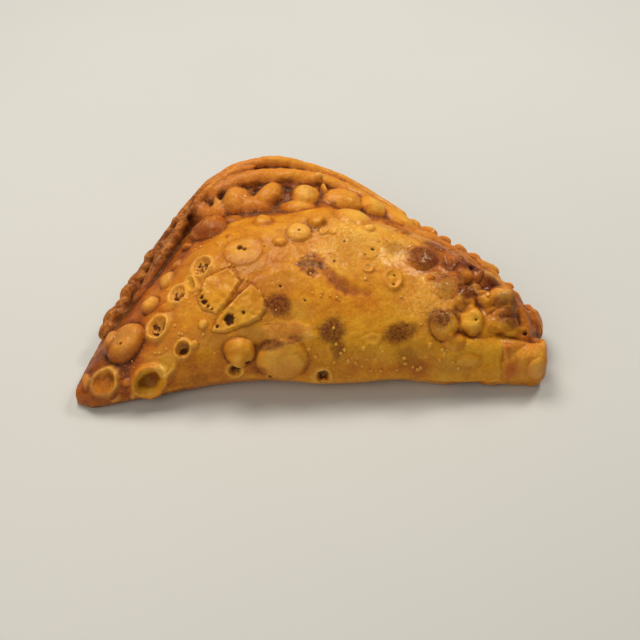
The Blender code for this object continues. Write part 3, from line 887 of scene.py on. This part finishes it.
def add_ribbed_patch(skin):
    """The finely ribbed, orange-brown skin above the widest blister."""
    x, across, long, wide = RIBBED
    rows, r, _ = skin.near(x, across, long, wide, wobble=0.2)
    here = skin.points[rows]
    mark = falling(r + 0.2 * field(here, 2.5, 81), 0.6, 1.05)
    lean = 0.8 * here[:, 0] + 0.6 * skin.across[rows]
    ribs = np.sin(2 * math.pi * lean / RIB_PITCH + 2 * field(here, 3.0, 82))
    skin.raise_by(rows, mark * (0.5 + 0.12 * ribs))
    skin.tint("amber", rows, 0.42 * mark * falling(here[:, 0], -8, 0))
    skin.tint("blush", rows, 0.9 * mark)
    skin.tint("pale", rows, 0.4 * mark * rising(here[:, 0], -6, -2))
    skin.paint["toast"][rows] += mark * (0.1 * ribs - 0.24)


def add_end_creases(skin):
    """The folded end: creases round its cap and above the roll, with painted shade in them, and
    its darker glaze.
    """
    x, across = skin.points[:, 0], skin.across
    waver = 1.7 * field(skin.points, 5, 85)
    cap = rising(x + waver, CAP_START - 1, CAP_START + 2) * falling(across, 13, 16)
    side = ridge(x + waver, CAP_START, 0.7) * falling(across, 10, 13)
    top_line = np.interp(x, *zip(*ROLL_CREASE))
    top = ridge(across + waver, top_line, 1.0) * rising(x, 44, 52)
    lift = ridge(across + 3.2, top_line, 2.2) * rising(x, 44, 54)
    crease_strength = np.clip(0.7 + 0.9 * field(skin.points, 8, 87), 0.2, 1)
    skin.relief += 0.8 * lift * crease_strength - 0.4 * side * (across > -2) - 0.9 * top * crease_strength
    glaze = 0.3 + 0.5 * falling(x, CAP_START + 1, CAP_START + 7) + 0.7 * field(skin.points, 4, 86)
    skin.tint("amber", slice(None), cap * glaze)
    skin.tint("blush", slice(None), 0.7 * cap)
    # Painted shade in the crease above the roll; the extra toast in it and in the cap's side
    # crease is painted shade too.
    skin.tint("painted_shade", slice(None), 0.25 * top * crease_strength)
    skin.paint["toast"] += 0.16 * top * crease_strength + 0.06 * side - 0.12 * cap + 0.3 * rising(x, 76, 81)


def add_holes(skin):
    """Ragged holes, from pinpricks to the gaps beside a flake, sunk and filled with painted shade.
    """
    for x, across, radius, depth in HOLES:
        rows, r, _ = skin.near(x, across, radius, radius, wobble=0.15, ragged=0.35)
        hollow = falling(r, 0.7, 1.15)
        skin.raise_by(rows, -depth * hollow)
        skin.fade("pale", rows, hollow)
        # Painted shade inside the hole.
        skin.tint("painted_shade", rows, 0.95 * hollow)


def add_dabs(skin):
    """Dabs of painted shade in the hollows and of painted light on the tops of knuckles. The
    near-black ones are sunk too.
    """
    for middle, radius, paint, strength in DABS:
        r = np.linalg.norm(skin.points - middle, axis=1) / radius
        rows = np.flatnonzero(r < 1.8)
        mark = falling(r[rows] + 0.5 * rough(skin.points[rows], 2.2, 46), 0.3, 1.4)
        # Plum and near-black dabs are painted shade in the gaps; pale dabs are painted light on
        # tops.
        skin.tint(paint, rows, strength * mark)
        if paint == "painted_shade":
            skin.raise_by(rows, -0.7 * strength * mark)


def add_stains(skin):
    """The toasted spots, the dull ones, and the scorched patch with its tail."""
    for x, across, long, wide, turn, strength in PLUMS:
        rows, r, _ = skin.near(x, across, long, wide, turn, wobble=0.2)
        grain = 0.28 * rough(skin.points[rows], 1.6, 33)
        skin.tint("plum_and_shade", rows, strength * falling(r + grain, 0.55, 1.2))
    for x, across, long, wide, strength in DULL:
        rows, r, _ = skin.near(x, across, long, wide, wobble=0.2)
        grain = 0.3 * rough(skin.points[rows], 4, 37)
        skin.tint("ash", rows, strength * falling(r + grain, 0.3, 1.2))
    x, across, long, wide = SCORCH
    rows, r, _ = skin.near(x, across, long, wide, wobble=0.2)
    here = skin.points[rows]
    folds = field(here, 2.6, 31) + 0.6 * field(here, 1.1, 32)
    mark = falling(r + 0.25 * field(here, 1.8, 34), 0.5, 1.1)
    skin.raise_by(rows, mark * (0.7 * folds - 0.2))
    skin.paint["toast"][rows] += mark * (0.4 - 0.4 * folds)
    skin.tint("plum_and_shade", rows, 0.35 * mark * np.clip(0.1 - folds, 0, 1))
    skin.tint("ash", rows, 0.35 * mark)
    skin.fade("grain", rows, 0.4 * mark)
    flat = skin.flat()
    rows = near_outline(flat, SCORCH_TAIL)
    d = inside(flat[rows], SCORCH_TAIL) + 1.1 * field(skin.points[rows], 2.6, 36)
    mark = rising(d, -0.9, 1.3)
    skin.raise_by(rows, -0.45 * mark)
    skin.paint["toast"][rows] += 0.3 * mark * (1 - 0.7 * falling(-flat[rows, 0], -15, -8))
    skin.tint("ash", rows, 0.3 * mark)
    skin.fade("grain", rows, mark)


def seam_reach(x):
    """How far up the skin the seam lies, where the dome meets the rim."""
    knots = sorted(SECTIONS)
    reach = [reach_along(np.array(outline(k)))[SEAM_POINT] for k in knots]
    return np.interp(x, knots, reach)


def on_rim(skin):
    """0 on the dome and 1 on the rim beyond the seam."""
    return rising(skin.across / seam_reach(skin.points[:, 0]), *RIM_FADE)


def brown(skin):
    """The broad browning of the crust, before its blisters."""
    x = skin.points[:, 0]
    across = skin.across
    low = falling(across, 1, 12)  # the foot of the fold
    belly = falling(abs(x - 2), 24, 40) * falling(abs(across - 15), 6, 12)  # its pale middle
    outer = rising(x, 66, 74) * rising(across, 11, 15)  # behind the cap
    tip = falling(x, -76, -52)
    end = rising(x, 34, 60)
    rim = on_rim(skin)
    left_rim = rim * (falling(x, -34, -2) + 1.1 * falling(x, -54, -40))
    shoulder = falling(x, -50, -38) * rising(across, 36, 58)
    # The dark stretch down the right flank, and the pale roll in front of it.
    flank = rising(across, 34, 48) * rising(x, 34, 46) * falling(x, 60, 72)
    front = falling(abs(x - 62), 18, 28) * falling(across, 20, 34)
    cloud = rough(skin.points, 16, 3) + 0.5 * rough(skin.points, 5, 4)
    toast = PLAIN_TOAST + 0.05 * low + 0.38 * tip + 0.05 * end + 0.22 * left_rim + 0.24 * flank
    left_side = falling(abs(x + 56), 6, 18) * falling(across, 34, 50)
    toast += rim * (0.08 * falling(x, -24, -4) - 0.08) - 0.17 * front + 0.09 * left_side
    toast += 0.36 * outer + 0.26 * shoulder - 0.14 * belly
    # Two creamy, grainy patches, partly a painted sheen: high in the middle, and towards the
    # right.
    middle = np.hypot((x - 13) / 35, (across - 54) / 19)
    streak = np.hypot((x - 39) / 15, (across - 30) / 16)
    cream_and_sheen = np.maximum(falling(middle, 0.35, 1.1), 0.9 * falling(streak, 0.2, 1.1))
    cream_and_sheen *= np.clip(0.75 + 0.7 * field(skin.points, 9, 8), 0, 1)
    skin.paint["grain"][:] = cream_and_sheen
    skin.paint["blush"][:] = rim * (0.5 + 0.5 * falling(x, 4, 40))
    skin.paint["toast"][:] = np.clip(toast + 0.16 * cloud - 0.1 * cream_and_sheen, 0, 1)


def hollows(mesh_points, normals, edges, rounds):
    """How far in millimetres each point lies below the skin smoothed this many times."""
    count = len(mesh_points)
    degree = np.bincount(edges.ravel(), minlength=count)
    smooth = mesh_points.copy()
    for _ in range(rounds):
        total = np.zeros_like(smooth)
        for axis in range(3):
            column = smooth[:, axis]
            total[:, axis] = np.bincount(edges[:, 0], column[edges[:, 1]], count)
            total[:, axis] += np.bincount(edges[:, 1], column[edges[:, 0]], count)
        smooth = 0.5 * smooth + 0.5 * total / degree[:, None]
    return ((smooth - mesh_points) * normals).sum(1)


def dress(skin):
    """Everything that shapes or colours the skin, always in the same order."""
    brown(skin)
    add_stains(skin)
    add_dabs(skin)
    add_bubbles(skin)
    add_bursts(skin)
    add_ribbed_patch(skin)
    add_end_creases(skin)
    add_flakes(skin)
    add_holes(skin)
    here = skin.points
    rim = on_rim(skin)
    ribs = field(here * (1, 0.35, 0.35), 0.9, 15)
    end = rising(here[:, 0], 38, 50) * rising(skin.across, 12, 18)
    folds = np.clip(field(here, 6, 17) + 0.6 * field(here, 3.2, 18), -1, 1)
    skin.relief += END_CRUMPLE * end * folds
    skin.relief += BROAD_RELIEF * rough(here, 6, 9) + MIDDLE_RELIEF * rough(here, 2.4, 12)
    skin.relief += FINE_RELIEF * field(here, 0.9, 13) + FINE_RELIEF * rim * ribs
    skin.relief *= rising(here[:, 2], *BASE_FADE)
    skin.paint["toast"] = np.clip(skin.paint["toast"], 0, 1)


def mesh_arrays(mesh):
    """The mesh's points in millimetres, and its normals."""
    points = np.empty(len(mesh.vertices) * 3)
    mesh.vertices.foreach_get("co", points)
    normals = np.empty(len(mesh.vertices) * 3)
    mesh.vertex_normals.foreach_get("vector", normals)
    return points.reshape(-1, 3) / MM, normals.reshape(-1, 3)


def write_paint(mesh, skin):
    """Keeps the paints on the mesh, where the material reads them."""
    for name in PAINTS:
        layer = mesh.attributes.new(name, "FLOAT", "POINT")
        layer.data.foreach_set("value", skin.paint[name].astype(np.float32))


def build_crust():
    """The crust, dressed twice: to shape it finely, and to paint it after it is thinned to
    fewer triangles. The second time its relief isn't used."""
    mesh = joined_crust()
    points, normals = mesh_arrays(mesh)
    skin = Skin(points, normals)
    dress(skin)
    moved = points + normals * skin.relief[:, None]
    moved[:, 2] = np.maximum(moved[:, 2], 0)
    mesh.vertices.foreach_set("co", (moved * MM).ravel())
    dense = put("dense_crust", mesh)
    mesh.calc_loop_triangles()
    fewer = dense.modifiers.new("fewer_faces", "DECIMATE")
    fewer.ratio = min(1, CRUST_TRIANGLES / len(mesh.loop_triangles))
    seen = dense.evaluated_get(bpy.context.evaluated_depsgraph_get())
    final = bpy.data.meshes.new_from_object(seen)
    bpy.data.objects.remove(dense)
    final.name = "crust_skin"
    points, normals = mesh_arrays(final)
    skin = Skin(points, normals)
    dress(skin)
    edges = np.empty(len(final.edges) * 2, int)
    final.edges.foreach_get("vertices", edges)
    edges = edges.reshape(-1, 2)
    fine = hollows(points, normals, edges, FINE_HOLLOWS)
    wide = hollows(points, normals, edges, WIDE_HOLLOWS)
    rim = on_rim(skin)
    left = rim * falling(points[:, 0], -50, -38)
    toast = skin.paint["toast"]
    # Painted shade in the broad dips and painted light on the ridges, stronger on the rim.
    toast += HOLLOW_PAINTED_SHADE * np.clip(wide / 1.2, 0, 1) * (1 + rim)
    toast -= RIDGE_PAINTED_LIGHT * np.clip(-wide / 1.4, 0, 1) * (1 + rim) * (1 - left)
    skin.paint["toast"] = np.clip(toast, 0, 1)
    # Near-black painted shade in the narrow creases that lie within dips.
    creased = np.clip(fine / 0.4 - 0.2, 0, 1)
    skin.tint("painted_shade", slice(None), 0.6 * creased * np.clip(wide / 0.6, 0, 1))
    # Plum-brown painted shade in the rim's dips.
    skin.tint("plum_and_shade", slice(None), rim * np.clip(wide / 1.0 - 0.3, 0, 0.75))
    # The left rim's plum-brown stain, deeper in its hollows as painted shade.
    stain_and_shade = 0.42 + 1.4 * field(points, 4, 47) + np.clip(wide / 0.9, -0.35, 0.6)
    skin.tint("plum_and_shade", slice(None), left * np.clip(stain_and_shade, 0, 0.9))
    write_paint(final, skin)
    final.shade_smooth()
    return put("crust_skin", final)


def skin_points(xs, ups):
    """Points on the bare skin at these x and distances up it."""
    low, high = min(SECTIONS), max(SECTIONS)
    slots = np.floor((np.clip(xs, low, high - STATION_STEP) - low) / STATION_STEP)
    found = np.zeros((len(xs), 3))
    for slot in np.unique(slots):
        rows = np.flatnonzero(slots == slot)
        start = low + slot * STATION_STEP
        share = (xs[rows] - start) / STATION_STEP
        for x, weight in ((start, 1 - share), (start + STATION_STEP, share)):
            ring, where = ring_at(min(x, high), RING_POINTS)
            total = where[-1] + where[1]
            loop = np.append(where, total)
            for axis in range(3):
                column = np.append(ring[:, axis], ring[0, axis])
                found[rows, axis] += weight * np.interp(ups[rows] % total, loop, column)
    return found


def skin_normals(xs, ups):
    """Which way is out from the bare skin at these places."""
    along = skin_points(xs + 0.5, ups) - skin_points(xs - 0.5, ups)
    across = skin_points(xs, ups + 0.5) - skin_points(xs, ups - 0.5)
    out = np.cross(along, across)
    return out / np.linalg.norm(out, axis=1)[:, None]


def on_bare_skin(spot):
    """Whether a tiny blister's place is clear of the burst blisters and flakes."""
    place = np.array([spot[:2]])
    bursts = [math.hypot(x - spot[0], up - spot[1]) > max(a, b) for x, up, a, b, *_ in BURSTS]
    return all(bursts) and all(inside(place, corners)[0] < 0 for corners, _ in FLAKES)


def build_specks():
    """The tiny blisters, each a small uneven dome of its own, joined as one mesh."""
    draw = random.Random(SPECK_SEED)
    spots = []
    for count, x_span, up_span, sizes in SPECKS:
        for _ in range(count):
            size = mostly_small(draw, *sizes)
            spots.append((draw.uniform(*x_span), draw.uniform(*up_span), size))
    spots = np.array([spot for spot in spots if on_bare_skin(spot)])
    ground, out = skin_points(*spots[:, :2].T), skin_normals(*spots[:, :2].T)
    ball = bmesh.new()
    bmesh.ops.create_icosphere(ball, subdivisions=2, radius=1)
    shape = np.array([v.co for v in ball.verts])
    faces = np.array([[v.index for v in f.verts] for f in ball.faces])
    ball.free()
    points = []
    for k, (place, up, size) in enumerate(zip(ground, out, spots[:, 2])):
        turn = np.array(Vector((0, 0, 1)).rotation_difference(Vector(up)).to_matrix())
        uneven = 1 + SPECK_UNEVEN * field(shape, 0.9, 90 + k)
        radii = (size, size * draw.uniform(0.75, 1.25), SPECK_FLATNESS * size)
        wide = shape * uneven[:, None] * radii
        points.append(place + up * SPECK_LIFT + wide @ turn.T)
    points = np.concatenate(points)
    every = np.concatenate([faces + k * len(shape) for k in range(len(spots))])
    mesh = bpy.data.meshes.new("tiny_blisters")
    mesh.from_pydata(points * MM, [], every.tolist())
    skin = Skin(points, np.zeros_like(points))
    brown(skin)
    skin.tint("pale", slice(None), 0.62 + 0.3 * field(points, 4.0, 21))
    write_paint(mesh, skin)
    mesh.shade_smooth()
    return put("tiny_blisters", mesh)


# ---------------------------------------------------------------- materials


class Nodes:
    """A short way to add shader nodes and join them up."""

    def __init__(self, name):
        self.material = bpy.data.materials.new(name)
        self.material.use_nodes = True
        self.tree = self.material.node_tree
        self.shader = self.tree.nodes["Principled BSDF"]

    def link(self, value, socket):
        if isinstance(value, bpy.types.NodeSocket):
            self.tree.links.new(value, socket)
        else:
            socket.default_value = value

    def add(self, kind, settings, *values):
        """A node with these settings, and these values or links on its first sockets."""
        made = self.tree.nodes.new(kind)
        for name, setting in settings.items():
            setattr(made, name, setting)
        for socket, value in zip(made.inputs, values):
            if value is not None:
                self.link(value, socket)
        return made

    def math(self, operation, *values, clamp=False):
        settings = {"operation": operation, "use_clamp": clamp}
        return self.add("ShaderNodeMath", settings, *values).outputs[0]

    def painted(self, name):
        return self.add("ShaderNodeAttribute", {"attribute_name": name}).outputs["Fac"]

    def noise(self, scale, detail=3, roughness=0.6, warp=0.0):
        place = self.add("ShaderNodeTexCoord", {}).outputs["Object"]
        made = self.add("ShaderNodeTexNoise", {}, place)
        names = ("Scale", "Detail", "Roughness", "Distortion")
        for name, value in zip(names, (scale, detail, roughness, warp)):
            made.inputs[name].default_value = value
        return made.outputs["Fac"]

    def spread(self, value, low, high):
        """The value stretched so that low becomes 0 and high becomes 1."""
        made = self.add("ShaderNodeMapRange", {"clamp": True}, value, low, high, 0.0, 1.0)
        return made.outputs[0]

    def mix(self, share, first, second):
        made = self.tree.nodes.new("ShaderNodeMix")
        made.data_type = "RGBA"
        made.clamp_factor = True
        self.link(share, made.inputs["Factor"])
        self.link(first, made.inputs[6])
        self.link(second, made.inputs[7])
        return made.outputs[2]

    def ramp(self, value, stops):
        made = self.add("ShaderNodeValToRGB", {}, value)
        line = made.color_ramp
        while len(line.elements) < len(stops):
            line.elements.new(0.5)
        for element, (place, color) in zip(line.elements, stops):
            element.position = place
            element.color = color
        return made.outputs["Color"]


def tone(red, green, blue):
    """A colour given as it looks on a screen, 0 to 255, turned into light."""
    return (*(((c / 255 + 0.055) / 1.055) ** 2.4 for c in (red, green, blue)), 1)


# The crust's colour from palest to darkest, by its toast level, which also carries the painted
# shade of hollows and creases.
CRUST_COLOURS = [
    (0, (246, 198, 84)),
    (0.2, (236, 172, 40)),
    (0.42, (212, 135, 10)),
    (0.62, (180, 94, 0)),
    (0.8, (130, 55, 0)),
    (1, (62, 26, 0)),
]
DOUGH_SETTINGS = {
    "Subsurface Weight": 0.18,
    "Subsurface Radius": (1.0, 0.4, 0.12),
    "Subsurface Scale": 0.0015,
    "Specular IOR Level": 0.24,
    "Coat Weight": 0.18,
    "Coat Roughness": 0.12,
}
BUMP_STRENGTH = 0.8
BUMP_DISTANCE = 0.0008


def dough_material():
    n = Nodes("fried_dough")
    paint = {name: n.painted(name) for name in PAINTS}
    broad = n.noise(110, 3, 0.6, 0.5)
    coarse = n.noise(300, 5, 0.7)
    fine = n.noise(1100, 4, 0.75)
    level = paint["toast"]
    for texture, gain in ((coarse, 0.4), (fine, 0.44), (broad, 0.36)):
        level = n.math("MULTIPLY_ADD", texture, gain, n.math("SUBTRACT", level, gain / 2))
    base = n.ramp(level, [(place, tone(*color)) for place, color in CRUST_COLOURS])
    olive = n.math("MULTIPLY", n.spread(n.noise(70, 4, 0.6, 0.6), 0.44, 0.66), 0.28)
    base = n.mix(olive, base, tone(182, 120, 30))
    grains_and_glints = n.spread(n.noise(1000, 5, 0.8, 0.4), 0.46, 0.62)
    pimples = n.spread(n.noise(800, 3, 0.7), 0.38, 0.62)
    speckle = n.spread(n.noise(1100, 4, 0.7), 0.36, 0.62)
    layers = [  # the paint, what breaks it up and by how much, its least share, its colour
        # pale grain, partly a painted sheen
        ("grain", grains_and_glints, 0.8, 0, (250, 212, 138)),
        ("blush", pimples, 0.6, 0.25, (216, 134, 56)),
        ("ash", coarse, 0.6, 0.3, (172, 126, 52)),
        ("amber", None, 0, 0.85, (196, 96, 0)),
        # plum stains, and painted shade in gaps and dips
        ("plum_and_shade", speckle, 0.35, 0.65, (100, 34, 10)),
        # paler skin, and painted highlights on edges, streaks and tops
        ("pale", coarse, 0.6, 0.55, (246, 190, 96)),
        # near-black painted shade in holes, creases and gaps
        ("painted_shade", None, 0, 1, (52, 20, 4)),
    ]
    for name, texture, gain, least, color in layers:
        share = n.math("MULTIPLY_ADD", texture, gain, least) if texture else least
        base = n.mix(n.math("MULTIPLY", paint[name], share), base, tone(*color))
    n.link(base, n.shader.inputs["Base Color"])
    gloss = n.math("MULTIPLY_ADD", coarse, 0.3, 0.36)
    for name, gain in (("grain", 0.08), ("painted_shade", 0.4), ("blush", 0.16), ("plum_and_shade", 0.16)):
        gloss = n.math("MULTIPLY_ADD", paint[name], gain, gloss)
    gloss = n.math("MULTIPLY_ADD", paint["amber"], -0.3, gloss, clamp=True)
    n.link(gloss, n.shader.inputs["Roughness"])
    height = n.math("MULTIPLY_ADD", fine, 0.45, n.math("MULTIPLY", coarse, 0.5))
    height = n.math("MULTIPLY_ADD", n.math("MULTIPLY", pimples, paint["blush"]), 0.16, height)
    bump = n.tree.nodes.new("ShaderNodeBump")
    bump.inputs["Strength"].default_value = BUMP_STRENGTH
    bump.inputs["Distance"].default_value = BUMP_DISTANCE
    n.link(height, bump.inputs["Height"])
    n.link(bump.outputs["Normal"], n.shader.inputs["Normal"])
    for name, value in DOUGH_SETTINGS.items():
        n.shader.inputs[name].default_value = value
    return n.material


def floor_material():
    n = Nodes("pale_floor")
    shade = n.noise(6, 3, 0.5)
    n.link(n.mix(shade, tone(200, 207, 228), tone(208, 215, 236)), n.shader.inputs["Base Color"])
    n.link(n.math("MULTIPLY_ADD", shade, 0.1, 0.55), n.shader.inputs["Roughness"])
    return n.material


# ---------------------------------------------------------------- stage, light and camera

CAMERA_PITCH = 42.6
CAMERA_REACH = 0.41925
CAMERA_TARGET = (0.001, -0.003)  # in the sections' coordinates
LENS = 63.56
SENSOR = 36
FLOOR_HALF = 1.5
FLOOR_SQUARES = 60
FLOOR_GAP = 0.0002
ROOM_COLOUR = (1.0, 0.9, 0.66, 1)
ROOM_STRENGTH = 0.17
LIGHT_TARGET = (0, 0, 0.01)
LIGHTS = [  # name, place, size, power, colour
    ("window", (-0.22, 0.34, 0.7), 0.4, 4.3, (1.0, 0.89, 0.64)),
    ("lamp", (0.3, 0.3, 0.5), 0.14, 1.4, (1.0, 0.88, 0.64)),
    ("fill", (-0.35, -0.5, 0.5), 0.6, 1.9, (1.0, 0.88, 0.6)),
]


def add_stage():
    bm = bmesh.new()
    bmesh.ops.create_grid(
        bm, x_segments=FLOOR_SQUARES, y_segments=FLOOR_SQUARES, size=FLOOR_HALF
    )
    mesh = bpy.data.meshes.new("floor")
    bm.to_mesh(mesh)
    bm.free()
    mesh.materials.append(floor_material())
    floor = put("floor", mesh)
    floor.location.z = CAD_BOX[0].z - FLOOR_GAP


def add_lights():
    world = bpy.data.worlds.new("soft_room")
    world.use_nodes = True
    backdrop = world.node_tree.nodes["Background"]
    backdrop.inputs["Color"].default_value = ROOM_COLOUR
    backdrop.inputs["Strength"].default_value = ROOM_STRENGTH
    bpy.context.scene.world = world
    for name, place, size, power, color in LIGHTS:
        lamp = bpy.data.lights.new(name, "AREA")
        lamp.size = size
        lamp.energy = power
        lamp.color = color
        look_along(put(name, lamp), Vector(place), Vector(LIGHT_TARGET) - Vector(place))


def look_along(made, place, ahead):
    """Puts a light or a camera at this place, looking this way."""
    made.location = place
    made.rotation_mode = "QUATERNION"
    made.rotation_quaternion = ahead.to_track_quat("-Z", "Y")


def add_camera(shift):
    pitch = math.radians(CAMERA_PITCH)
    back = Vector((0, -math.cos(pitch), math.sin(pitch)))
    target = Vector((CAMERA_TARGET[0] + shift[0] * MM, CAMERA_TARGET[1] + shift[1] * MM, 0))
    lens = bpy.data.cameras.new("camera")
    lens.sensor_width = SENSOR
    lens.lens = LENS
    camera = put("camera", lens)
    look_along(camera, target + back * CAMERA_REACH, -back)
    bpy.context.scene.camera = camera


# ---------------------------------------------------------------- the whole scene


def main():
    low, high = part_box("crust")
    shift = np.array([(low.x + high.x) / 2, (low.y + high.y) / 2]) / MM - MIDDLE
    crust = build_crust()
    place = Matrix.Translation((shift[0] * MM, shift[1] * MM, low.z))
    material = dough_material()
    for piece in (crust, build_specks()):
        piece.data.transform(place)
        piece.data.materials.clear()
        piece.data.materials.append(material)
        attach(piece, "root")
    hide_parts("crust")
    add_stage()
    add_lights()
    add_camera(shift)
    bpy.context.scene.view_settings.view_transform = "Standard"


main()
